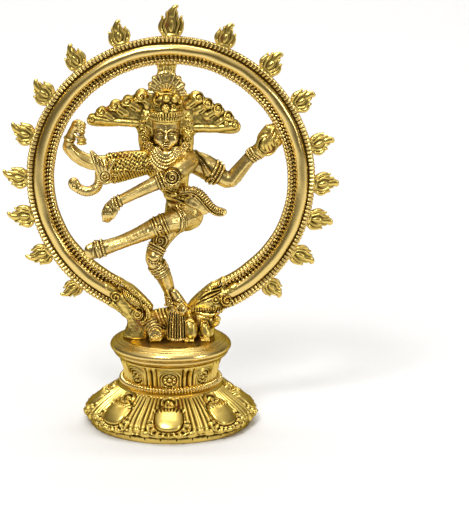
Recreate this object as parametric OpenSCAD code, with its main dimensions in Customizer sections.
// Brass nataraja: a dancing four-armed figure in a ring of flames on a lotus pedestal.
// Millimetres, +Z up, the front looks along -Y, the origin is on the ground under the middle.

/* [Pedestal] */
// Radius of the foot band on the ground
foot_r = 36.4; // [34:0.2:38]
// Radius of the lotus dome at the petals' rim
petal_r = 38.8; // [38.5:0.1:40]
// Height of the petals' rim above the ground
petal_z = 4.5; // [4:0.1:5.5]
// Height of the top of the lotus dome
dome_z = 19; // [18:0.5:20]
// Radius of the rope collar at the middle of the rope
rope_r = 21.7; // [21.2:0.1:22]
// Radius of the rope
rope_thick = 1.2; // [1:0.1:1.3]
// Radius of the waist where it is narrowest
waist_r = 20.8; // [20:0.1:21.2]
// Radius of the rim, the widest part of the top moulding
rim_r = 27.5; // [26.5:0.1:29]
// Height of the flat top above the ground
top_z = 40; // [39.5:0.1:40.5]
// Thickness of the cast walls
wall = 2.6; // [2:0.1:3]

/* [Ring] */
// Height of the ring's centre above the ground
ring_z = 112.4; // [112:0.1:113.2]
// Outer radius of the ring
ring_r = 64.3; // [63.5:0.1:65]
// Radius of the ring's open middle
ring_hole_r = 52.1; // [51.4:0.1:52.5]
// Radius of the bright half-round at its own centre line
tube_at_r = 58.4; // [58:0.1:59]
// Radius of the bright half-round itself
tube_r = 2.8; // [2.4:0.1:3.2]
// Half of the open angle at the bottom of the ring, in degrees
ring_gap = 25; // [22:0.5:27]
// Depth of the ring behind its middle plane
ring_back = 2.4; // [1.8:0.1:3]

/* [Flames] */
// Height of a side flame
flame_h = 10.6; // [9:0.1:11]
// Width of a side flame
flame_w = 9; // [7:0.5:10]
// Height of the top flame
top_flame_h = 14; // [12:0.1:14.4]
// Thickness of a flame
flame_t = 3.4; // [2.5:0.1:4]

/* [Figure] */
// Height of the chin above the ground
chin_z = 126.5; // [126:0.1:127]
// Half of the width of the face
face_w = 6.2; // [5.8:0.1:6.6]
// Radius of the tiara's bands
tiara_r = 6.9; // [6.6:0.1:7.2]
// Height of the fan above the crown
fan_h = 10; // [9:0.1:10.5]
// Radius of the round armlet on the crossing arm
armlet_r = 3.4; // [3:0.1:3.8]
// Radius of the ear-rings
earring_r = 2; // [1.6:0.1:2.2]

/* [Hidden] */
brass = "#c9a03a";
brass_light = "#dcb64c";
sides = 12;
origin = [0, 0, 0];
head_x = -2;

// Angles of the side flames down each side of the ring, from the top, in degrees.
flame_right = [21, 40.5, 58, 75.5, 91, 105.5, 121, 138];
flame_left = [20, 38.5, 55.5, 72.5, 89.5, 105, 121.5, 139.5];
flame_count = 1 + len(flame_right) + len(flame_left);
function two(i) = i < 10 ? str("0", i) : str(i);
function flame_name(i) = str("flame_", two(i));

// ---- Lofts: a station is [x, y, z, half width, half depth] ----

function at(s) = [s[0], s[1], s[2]];
function unit(v) = v / norm(v);

// A smooth curve through four stations, at t from 0 to 1 between the middle two.
function spline(a, b, c, d, t) =
    (2 * b + (c - a) * t + (2 * a - 5 * b + 4 * c - d) * t * t + (3 * b - a - 3 * c + d) * t * t * t) / 2;

function smooth(s, steps) = let (last = len(s) - 1) concat(
    [for (i = [0:last - 1]) for (j = [0:steps - 1])
        spline(s[max(i - 1, 0)], s[i], s[i + 1], s[min(i + 2, last)], j / steps)],
    [s[last]]
);

function heading(s, i) = unit(at(s[min(i + 1, len(s) - 1)]) - at(s[max(i - 1, 0)]));

// The end of a loft at angle a of its rounded cap, moved along direction t.
function cap(s, t, a) = let (p = at(s) + t * s[3] * 0.8 * sin(a))
    [p[0], p[1], p[2], s[3] * cos(a), s[4] * cos(a)];

function circle_at(s, t, n) =
    let (u = unit(cross(t, [0, 1, 0])), v = cross(u, t))
    [for (k = [0:n - 1]) at(s) + u * s[3] * cos(360 * k / n) + v * s[4] * sin(360 * k / n)];

// A closed skin through the stations, with rounded ends and n sides.
module loft(stations, n = sides, steps = 2) {
    s = smooth(stations, steps);
    last = len(s) - 1;
    t0 = heading(s, 0);
    t1 = heading(s, last);
    rings = concat(
        [for (a = [60, 30]) circle_at(cap(s[0], -t0, a), t0, n)],
        [for (i = [0:last]) circle_at(s[i], heading(s, i), n)],
        [for (a = [30, 60]) circle_at(cap(s[last], t1, a), t1, n)]
    );
    count = len(rings);
    ends = [at(s[0]) - t0 * s[0][3] * 0.8, at(s[last]) + t1 * s[last][3] * 0.8];
    points = concat([for (r = rings) for (p = r) p], ends);
    around = [for (i = [0:count - 2]) for (k = [0:n - 1]) let (m = (k + 1) % n)
        each [[i * n + k, i * n + m, (i + 1) * n + m], [i * n + k, (i + 1) * n + m, (i + 1) * n + k]]];
    first_cap = [for (k = [0:n - 1]) [(k + 1) % n, k, count * n]];
    last_cap = [for (k = [0:n - 1]) [(count - 1) * n + k, (count - 1) * n + (k + 1) % n, count * n + 1]];
    polyhedron(points, concat(around, first_cap, last_cap), convexity = 4);
}

// Joins the organic forms inside it into one skin.
module one_skin() resize([0, 0, 0]) children();

module ball(p, r, n = 20) translate(p) sphere(r, $fn = n);

// Lays a shape that is drawn flat on the ground upright in the picture plane, front towards -Y.
module upright(p = origin) translate(p) rotate([90, 0, 0]) children();

// ---- Pedestal ----

module lotus_base() color(brass) rotate_extrude($fn = 120) polygon([
    [foot_r - wall, 0], [foot_r, 0], [foot_r + 0.6, 3], [petal_r - 0.4, 3.2], [petal_r, petal_z],
    [petal_r - 1, petal_z + 2.5], [petal_r - 4, 9.8], [petal_r - 8, 12.8], [petal_r - 12.4, 15.8],
    [rope_r + 1.2, dome_z - 0.5], [rope_r - 0.6, dome_z], [waist_r - wall, dome_z],
    [waist_r - wall, dome_z - wall], [petal_r - 13.9, 13.2], [petal_r - 9.6, 10.2],
    [petal_r - 5.8, 7.2], [petal_r - 3.8, 4]
]);

module rope_collar() color(brass_light) difference() {
    translate([0, 0, dome_z + rope_thick]) rotate_extrude($fn = 120) translate([rope_r, 0])
        circle(rope_thick, $fn = 24);
    translate([0, 0, dome_z]) cylinder(r = waist_r + 0.1, h = 3 * rope_thick, $fn = 120);
    cylinder(r = rope_r + wall, h = dome_z, $fn = 120);
}

module pedestal_waist() color(brass) rotate_extrude($fn = 120) polygon([
    [waist_r - wall, dome_z], [waist_r + 0.1, dome_z], [waist_r, dome_z + 4], [waist_r + 0.6, 26.5],
    [waist_r + 1.5, 29], [waist_r + 2.3, 31], [waist_r - 0.6, 31], [waist_r - 2, 27.5],
    [waist_r - wall, 24]
]);

module pedestal_rim() color(brass_light) rotate_extrude($fn = 120) polygon([
    [0, top_z], [rim_r - 4.4, top_z], [rim_r - 4, top_z - 0.7], [rim_r - 2.4, top_z - 1.2],
    [rim_r - 0.7, top_z - 2.4], [rim_r, top_z - 3.6], [rim_r - 0.1, top_z - 4.6], [rim_r - 1, top_z - 5.2],
    [rim_r - 1.2, 34], [rim_r - 2.1, 32.3], [rim_r - 4, 31], [waist_r - 0.6, 31],
    [waist_r - 0.4, top_z - wall - 1], [waist_r - 2, top_z - wall], [0, top_z - wall]
]);

// ---- Dwarf under the dancer ----

module dwarf_trunk() {
    loft([[-6.4, 0.5, 46.4, 5.6, 5], [0, 0, 47.2, 6, 6], [7, 0, 46.8, 5.8, 6.2], [12, 0.5, 45, 4.4, 5.4]]);
    loft([[-7, -5, 45, 2.2, 2.2], [-3, -8.5, 43.5, 2, 2], [-8, -12.5, 41.8, 1.7, 1.6]]);
}

module dwarf_face() loft([[-8.5, -8, 47.5, 3, 2.8], [-7, -9.8, 45, 3.8, 3.6], [-5.5, -11.2, 42.6, 2.6, 2.4]]);

module skirt_form() loft([
    [2.6, -6.5, 52.5, 3.6, 2.6], [2.8, -8.2, 49, 4.4, 2.4], [2.9, -9.3, 45, 4.5, 2.2],
    [3, -10, 41.6, 4.2, 2]
]);

module leg_mass() {
    loft([[7.5, -2, 49, 3.6, 3.6], [9, -7.5, 47, 3.3, 3.3], [9.6, -9.6, 42.8, 2.6, 2.6]]);
    loft([[11, 1, 48, 3.4, 3.6], [15, -5, 46, 3.1, 3.2], [16, -8, 42.4, 2.4, 2.5]]);
    loft([[15, -1, 47, 2.4, 3], [19.5, -3.5, 46.8, 2.1, 2.4], [20.8, -5, 48, 1.7, 1.8]]);
}

module above_plate() intersection() {
    children();
    translate([-60, -60, top_z]) cube([120, 120, 150]);
}

module dwarf_body() color(brass) one_skin() above_plate() dwarf_trunk();
module dwarf_head() color(brass_light) one_skin() above_plate() difference() { dwarf_face(); dwarf_trunk(); }

module dwarf_skirt() color(brass_light) one_skin() above_plate() difference() {
    skirt_form();
    dwarf_trunk();
    foot_form();
}

module dwarf_legs() color(brass) one_skin() above_plate() difference() {
    leg_mass();
    dwarf_trunk();
    skirt_form();
}

// ---- Ring, its beasts and its bridges ----

// Turns a shape about the ring's centre, a degrees from the top towards +X.
module round_the_ring(a) translate([0, 0, ring_z]) rotate([0, a, 0]) children();

module ring_profile() {
    polygon([
        [ring_hole_r, -ring_back + 0.6], [ring_hole_r + 0.6, -ring_back], [ring_r - 0.8, -ring_back],
        [ring_r, -ring_back + 0.8], [ring_r, 1.2], [ring_r - 0.5, 1.7], [tube_at_r + tube_r, 1.2],
        [tube_at_r, 1.6], [tube_at_r - tube_r, 0.8], [ring_hole_r + 2.6, 1.6],
        [ring_hole_r + 0.7, 2.9], [ring_hole_r, 2.4]
    ]);
    translate([tube_at_r, 1.2]) circle(tube_r, $fn = 32);
}

module ring_arch() color(brass) translate([0, 0, ring_z]) rotate([90, 0, 0])
    rotate([0, 0, ring_gap - 90]) rotate_extrude(angle = 360 - 2 * ring_gap, $fn = 180) ring_profile();

// The solid that the ring fills, a little larger than its profile, for trimming what meets it.
module ring_space() upright([0, ring_back, ring_z]) difference() {
    cylinder(r = ring_r, h = ring_back + tube_r + 1.4, $fn = 180);
    translate([0, 0, -1]) cylinder(r = ring_hole_r, h = 20, $fn = 180);
    translate([0, 0, -1]) linear_extrude(20) polygon([
        [0, 0], 100 * [-sin(ring_gap), -cos(ring_gap)], 100 * [sin(ring_gap), -cos(ring_gap)]
    ]);
}

module left_beast() {
    loft([
        [-25.4, 0, 58, 5.4, 3.4], [-20.4, -0.6, 56, 6.2, 4.2], [-15.8, -1.2, 52.8, 6.6, 5],
        [-13.6, -1.6, 48.4, 6.2, 5.4], [-13.8, -1.8, 43.5, 6.4, 6], [-14.6, -1.8, 40, 7.6, 6.6]
    ]);
    ball([-16.2, -4.4, 53], 2.8);
    ball([-12.8, -4.8, 49.6], 2.6);
}

module right_beast() {
    loft([
        [24.6, 0, 58, 5.4, 3.4], [20.4, -0.8, 57, 6, 4.2], [15.4, -1.4, 56.6, 5.2, 4.6],
        [11.4, -1.6, 55, 3.2, 3.4], [9.4, -1.6, 53.6, 1.8, 2]
    ]);
    loft([[16.6, -0.6, 54, 5.8, 4], [15.4, 0, 47, 4.8, 4.6], [14.8, 0, 40, 5.2, 5.4]]);
    ball([24.6, -3.4, 56.6], 2.4);
}

module makara_left() color(brass) one_skin() above_plate() difference() {
    left_beast();
    ring_space();
    dwarf_trunk();
    dwarf_face();
}

module makara_right() color(brass) one_skin() above_plate() difference() {
    right_beast();
    ring_space();
    dwarf_trunk();
    leg_mass();
    skirt_form();
}

module crown_bridge() color(brass) one_skin() difference() {
    loft([[-2, -0.2, 158, 3.6, 1.6], [-2, 0, 161.4, 4, 1.6], [-2, 0, 164, 5.2, 1.9], [-2, 0, 166, 6.4, 1.9]]);
    ring_space();
    fan_form();
}

module fire_bridge() color(brass) one_skin() difference() {
    loft([[43.6, 0.6, 131.2, 4.4, 1.8], [47.2, 0.4, 132.6, 5, 1.7], [51, 0, 134, 6.2, 1.7]]);
    ring_space();
    fire_form();
}

// ---- Flames ----

// One flame: a tongue that bends by lean, with a curled leaf on each side of it.
module flame_leaf(h, w, lean) one_skin() {
    loft([
        [0, 0, -0.4, w * 0.38, flame_t / 2], [0, 0, h * 0.3, w * 0.4, flame_t / 2],
        [lean * 0.3, 0, h * 0.6, w * 0.25, flame_t * 0.38], [lean, 0, h * 0.92, w * 0.08, flame_t * 0.2]
    ], n = 8);
    for (side = [-1, 1])
        loft([
            [side * w * 0.3, 0, -0.2, w * 0.15, flame_t * 0.42],
            [side * w * 0.4, 0, h * 0.3, w * 0.13, flame_t * 0.4],
            [side * w * 0.38 + lean * 0.4, 0, h * 0.6, w * 0.07, flame_t * 0.25]
        ], n = 6);
}

// Flame i stands on the ring: 1 at the top, then down the right side, then down the left side.
module flame(i) {
    right = len(flame_right);
    on_right = i - 2 < right;
    a = i == 1 ? 0 : on_right ? flame_right[i - 2] : -flame_left[i - 2 - right];
    size = i == 1 ? top_flame_h / flame_h : abs(a) > 110 ? 0.9 : 1;
    lean = i == 1 ? 0.8 : -1.8 * sin(a);
    color(brass_light) round_the_ring(a) translate([0, 0, ring_r])
        intersection() {
            flame_leaf(flame_h * size, flame_w * (i == 1 ? 1.15 : size), lean);
            translate([-20, -20, 0]) cube(40);
        }
}

// ---- Legs and hips ----

module foot_form() loft([
    [-0.6, 1.8, 55, 2.2, 2], [1.2, -2, 55.2, 2.5, 2.4], [3.6, -6, 54.6, 2.8, 1.8], [5.4, -9, 54, 2.6, 1.3]
]);

module standing_form() {
    loft([
        [3, 0, 94.4, 5.4, 5.6], [-1.6, -1.5, 88.8, 4.6, 5], [-4.6, -3, 84.4, 4, 4.4],
        [-7.4, -5, 78.8, 3.7, 3.9], [-6.8, -4.8, 75.2, 3.7, 3.8], [-4.2, -3.2, 70.4, 3.7, 3.8],
        [-2.1, -1.6, 65.4, 3.1, 3.2], [-0.6, -0.4, 60.4, 2.4, 2.6], [0.4, 0.2, 56.8, 2.3, 2.4]
    ]);
    foot_form();
}

module raised_form() loft([
    [9, -1, 96, 5.4, 5.6], [4, -7, 95.4, 4.9, 5.2], [-2.4, -11.4, 94.6, 4.4, 4.6],
    [-7.4, -13, 92.8, 4, 4.2], [-13.6, -13.4, 89.9, 3.3, 3.4], [-21.4, -13.4, 86.6, 2.8, 2.8],
    [-28, -13.4, 84.2, 3.1, 2.8], [-32, -13.6, 83.2, 3.6, 2.6], [-35, -14.4, 82.4, 3.4, 1.8]
]);

module hips_form() loft([
    [2, 0, 107.6, 5, 4.4], [3.2, 0, 104.4, 5.6, 5], [4.6, -0.4, 100.4, 8, 6.4], [6, -0.4, 97, 8.4, 7.2],
    [6.4, 0, 94.4, 7.4, 6.4]
], n = 16);

module hip_cloth() color(brass) one_skin() hips_form();
module standing_leg() color(brass_light) one_skin() difference() { standing_form(); hips_form(); }

module raised_leg() color(brass_light) one_skin() difference() {
    raised_form();
    hips_form();
    standing_form();
}

module sash_form() loft([
    [5, -5.4, 108, 1.9, 1.6], [10.4, -4.6, 108, 2, 1.7], [14.4, -3.6, 104.8, 2.1, 1.7],
    [17.2, -2.6, 100.6, 2.2, 1.6], [20.4, -1.8, 97.9, 2.2, 1.4], [23.8, -1.4, 97.7, 1.8, 1.1]
]);

module sash_web() loft([[9, -4.6, 104, 2.6, 1.4], [12.6, -3.6, 100.4, 2.8, 1.3], [15.6, -2.8, 97.8, 1.4, 1]]);

module sash() color(brass_light) one_skin() difference() {
    union() {
        sash_form();
        sash_web();
    }
    hips_form();
}

// ---- Body and head ----

module torso_form() {
    loft([
        [2.1, 0, 106.6, 5.4, 4.2], [1.2, 0, 110.4, 7.2, 5], [-0.2, -0.2, 114.6, 9.4, 5.8],
        [-0.8, 0, 118.6, 10.2, 5.6], [-1, 0.4, 121.4, 8.4, 4.4]
    ], n = 16);
    loft([[-1.6, 0, 122, 4, 3.8], [-2, -0.6, 125, 3.2, 3.2], [-2, -0.8, 128, 3.2, 3.2]]);
}

module torso() color(brass) one_skin() difference() { torso_form(); hips_form(); head_form(); }

module collar_form() loft([
    [-8.6, -2, 124.6, 1.6, 2.2], [-6.6, -4.6, 120.6, 2, 1.8], [-1.6, -6, 117.8, 2.1, 1.6],
    [3.4, -4.8, 120.4, 2, 1.8], [5.6, -2.2, 124.4, 1.6, 2.2]
]);

module necklace() color(brass_light) one_skin() difference() {
    collar_form();
    torso_form();
    head_form();
    crossing_form();
}

module head_form() loft([
    [head_x, -2.6, chin_z + 1.4, 2.8, 2.8], [head_x, -2, chin_z + 4, face_w - 1, 5.2],
    [head_x, -1.4, chin_z + 7.6, face_w, 6.2], [head_x, -1, chin_z + 11.6, face_w + 0.2, 6.4],
    [head_x, -0.6, chin_z + 15, face_w - 0.2, 6]
], n = 16);

module head() color(brass_light) one_skin() head_form();

module hair_form() {
    loft([
        [-10, 1.6, 141, 2.6, 3.6], [-11.4, 1.2, 134, 3.2, 3.8],
        [-11.2, 0.8, 128, 3.2, 3.2], [-10.4, 0.6, 123.6, 2.6, 2.4]
    ]);
    loft([
        [6.2, 1.6, 141, 2.4, 3.6], [7.2, 1.2, 134, 2.8, 3.8],
        [7.4, 0.8, 128, 2.8, 3.2], [7, 0.6, 123.6, 2.4, 2.4]
    ]);
    loft([[head_x, 4.6, 141, 7.4, 2.4], [head_x, 5, 134, 7.8, 2.6], [head_x, 4.6, 126, 6.6, 2.4]]);
}

module side_hair() color(brass) one_skin() difference() {
    hair_form();
    head_form();
    torso_form();
    collar_form();
    crown_form();
    earring_pair();
}

module crown_form() {
    loft([
        [head_x, -0.8, 140.6, tiara_r, 7], [head_x, -0.6, 144, tiara_r, 7], [head_x, -0.2, 147, 6.4, 6.2],
        [head_x, 0, 150, 6.8, 5.2], [head_x, 0, 152, 6.4, 3.6]
    ], n = 16);
    ball([head_x, -5, 149.4], 2);
    ball([head_x + 4.4, -4.4, 149.8], 1.9);
    ball([head_x - 4.6, -4, 147.4], 2.1);
}

module crown() color(brass) one_skin() difference() { crown_form(); head_form(); }

module fan_form() upright([head_x, 1.4, 151]) linear_extrude(3) polygon(concat(
    [[-6.8, -1.6], [6.8, -1.6]],
    [for (a = [-10:5:190]) let (r = 0.92 + 0.06 * abs(cos(a * 4.5))) [8.6 * r * cos(a), fan_h * r * sin(a)]]
));

module feather_fan() color(brass_light) one_skin() difference() { fan_form(); crown_form(); }

// A flying lock of hair: a flat lobe from the head to a tip, with a row of curls along its upper edge.
module wing_form(lobe, curls) {
    loft(lobe, n = 10);
    for (c = curls) ball([c[0], 1.4, c[1]], c[2], 12);
}

module left_wing_form() wing_form(
    [[-9, 2.4, 142.4, 8, 2.4], [-14, 2.4, 142.6, 7.8, 2.4], [-20, 2.2, 141.8, 5.6, 2.2],
     [-26, 2.2, 140.4, 4.6, 2], [-32, 2.2, 138.8, 3, 1.8], [-35.4, 2.2, 138.2, 2, 1.4]],
    [[-12.8, 149.6, 2.9], [-18.6, 146.8, 2.5], [-24.4, 145.2, 2.4], [-30.8, 142, 2.2]]
);

module right_wing_form() wing_form(
    [[5, 2.4, 142.4, 8, 2.4], [10, 2.4, 141, 8, 2.4], [15, 2.2, 139.6, 6.4, 2.2],
     [21, 2.2, 138, 4.8, 2], [26, 2.2, 136.2, 3.4, 1.8], [28.6, 2.2, 135.6, 2.4, 1.6]],
    [[11, 148.8, 2.8], [15.6, 145.8, 2.5], [20.6, 143, 2.5], [25, 140.2, 2.3]]
);

module hair_wing_left() color(brass) one_skin() difference() {
    left_wing_form();
    hair_form();
    crown_form();
    head_form();
}

module hair_wing_right() color(brass) one_skin() difference() {
    right_wing_form();
    hair_form();
    crown_form();
    head_form();
}

module earring_pair() for (x = [head_x - 7.4, head_x + 8.2])
    upright([x, -3, 128]) rotate_extrude($fn = 32) translate([earring_r - 0.7, 0]) circle(0.7, $fn = 12);

module ear_rings() color(brass_light) earring_pair();

// ---- Arms ----

module crossing_form() {
    loft([
        [8.6, -2, 121, 4.2, 4], [4.6, -8, 118.8, 3.9, 3.6], [0.4, -12.4, 116.6, 3.6, 3.2],
        [-5.4, -14.6, 114, 3.1, 3], [-13, -15.4, 110.4, 2.6, 2.6], [-19.6, -15.6, 107, 2.2, 2.2],
        [-23.4, -15.6, 105, 2.2, 2], [-26, -15.4, 102.4, 3, 2], [-27.4, -15.2, 98.8, 2.9, 1.6],
        [-27.8, -15, 97, 1.6, 1.1]
    ]);
    upright([0.4, -13, 116]) cylinder(r = armlet_r, h = 3.4, $fn = 32);
}

module front_left_arm() color(brass_light) one_skin() difference() {
    crossing_form();
    torso_form();
}

module sleeve_form() loft([
    [-8, -1, 120.4, 4.8, 4.4], [-13, -3, 120, 5.6, 5], [-19.6, -5.6, 119, 6, 5.2], [-24.8, -8, 118, 6, 4.8],
    [-27, -9, 117.6, 4.8, 3.8]
], n = 16);

module front_right_arm() color(brass) one_skin() difference() {
    sleeve_form();
    torso_form();
    back_right_form();
}

module hand_form() {
    loft([[-28.2, -12.6, 114.6, 2.6, 1.8], [-28.8, -12.8, 117.4, 3.5, 1.9], [-31, -12.8, 121, 2.8, 1.7],
          [-33, -13, 124.4, 1.9, 1.3], [-34.6, -13.2, 127.2, 1, 0.9]]);
    loft([[-28, -12.6, 118, 1.2, 1.2], [-27.2, -12.8, 121, 1, 1], [-26.4, -13, 123.4, 0.7, 0.8]], n = 8);
}

module blessing_hand() color(brass_light) one_skin() difference() { hand_form(); sleeve_form(); }

module cobra_form() loft([
    [-31.6, -8, 118, 1.2, 1.2], [-31.2, -8.6, 112, 1.5, 1.4], [-33.4, -9, 108.6, 1.6, 1.5],
    [-37.6, -9, 107.8, 1.7, 1.5], [-41, -9, 109.4, 1.9, 1.5], [-42.8, -9, 112, 2.3, 1.5]
], n = 10, steps = 3);

module cobra() color(brass_light) one_skin() difference() {
    cobra_form();
    sleeve_form();
    hand_form();
    back_right_form();
}

module back_right_form() {
    loft([
        [-9, 3.6, 120.6, 4.4, 3.6], [-18, 4.6, 120, 4, 3.8], [-27, 5, 118.4, 3.8, 3.6],
        [-36, 5, 118.6, 3.5, 3.2], [-42.6, 4.6, 122, 3.2, 3], [-46, 4, 126, 2.8, 2.8]
    ]);
    loft([[-46, 4, 126, 2.6, 2.6], [-44.9, 3.2, 130.6, 2.2, 2.3], [-43.4, 2.6, 133.8, 2.1, 2],
          [-41.8, 2, 135.8, 2.7, 2.2]]);
}

module back_right_arm() color(brass_light) one_skin() difference() {
    back_right_form();
    torso_form();
    hair_form();
}

module drum_form() upright([-39.8, 2.2, 132.4]) rotate([-90, 0, 0]) rotate_extrude($fn = 32) polygon([
    [0, -5.4], [1.9, -5.2], [2, -3], [0.9, -0.6], [1, 0.6], [1.9, 3], [1.8, 4.6], [0, 4.8]
]);

module drum() color(brass) one_skin() difference() { drum_form(); back_right_form(); }

module back_left_form() {
    loft([
        [9, 3, 120, 4.6, 3.8], [14, 4, 117.8, 5.1, 4.2],
        [19, 4.8, 114.6, 5, 4.2], [20.2, 5, 113.9, 4.7, 4]
    ]);
    loft([
        [20.2, 5, 113.9, 3.4, 3.2], [23.6, 5, 111.6, 3.4, 3.2], [26.6, 4.8, 111, 3.2, 3.1],
        [30, 4.2, 115, 3, 2.8], [35.6, 3, 122.2, 2.5, 2.4], [38.6, 2.4, 125.2, 2.6, 2.2]
    ]);
}

module back_left_arm() color(brass_light) one_skin() difference() {
    back_left_form();
    torso_form();
    hair_form();
    crossing_form();
}

module fire_form() {
    loft([
        [39.8, 1.6, 124.8, 3, 2.2], [42.2, 1, 127.2, 5, 3],
        [43.4, 0.6, 131, 5.2, 2.8], [44.4, 0.4, 134.4, 4, 2.2]
    ]);
    loft([[44, -0.6, 129, 2, 1.8], [45.4, -0.4, 133, 1.6, 1.5], [46.6, -0.2, 137, 0.8, 0.9]], n = 8);
}

module fire_hand() color(brass) one_skin() difference() { fire_form(); back_left_form(); }

lotus_base();
rope_collar();
pedestal_waist();
pedestal_rim();
dwarf_body();
dwarf_head();
dwarf_skirt();
dwarf_legs();
makara_left();
makara_right();
ring_arch();
crown_bridge();
fire_bridge();
standing_leg();
raised_leg();
hip_cloth();
sash();
torso();
necklace();
head();
side_hair();
crown();
feather_fan();
hair_wing_left();
hair_wing_right();
ear_rings();
front_left_arm();
front_right_arm();
blessing_hand();
cobra();
back_right_arm();
drum();
back_left_arm();
fire_hand();
for (i = [1:flame_count])
    flame(i);
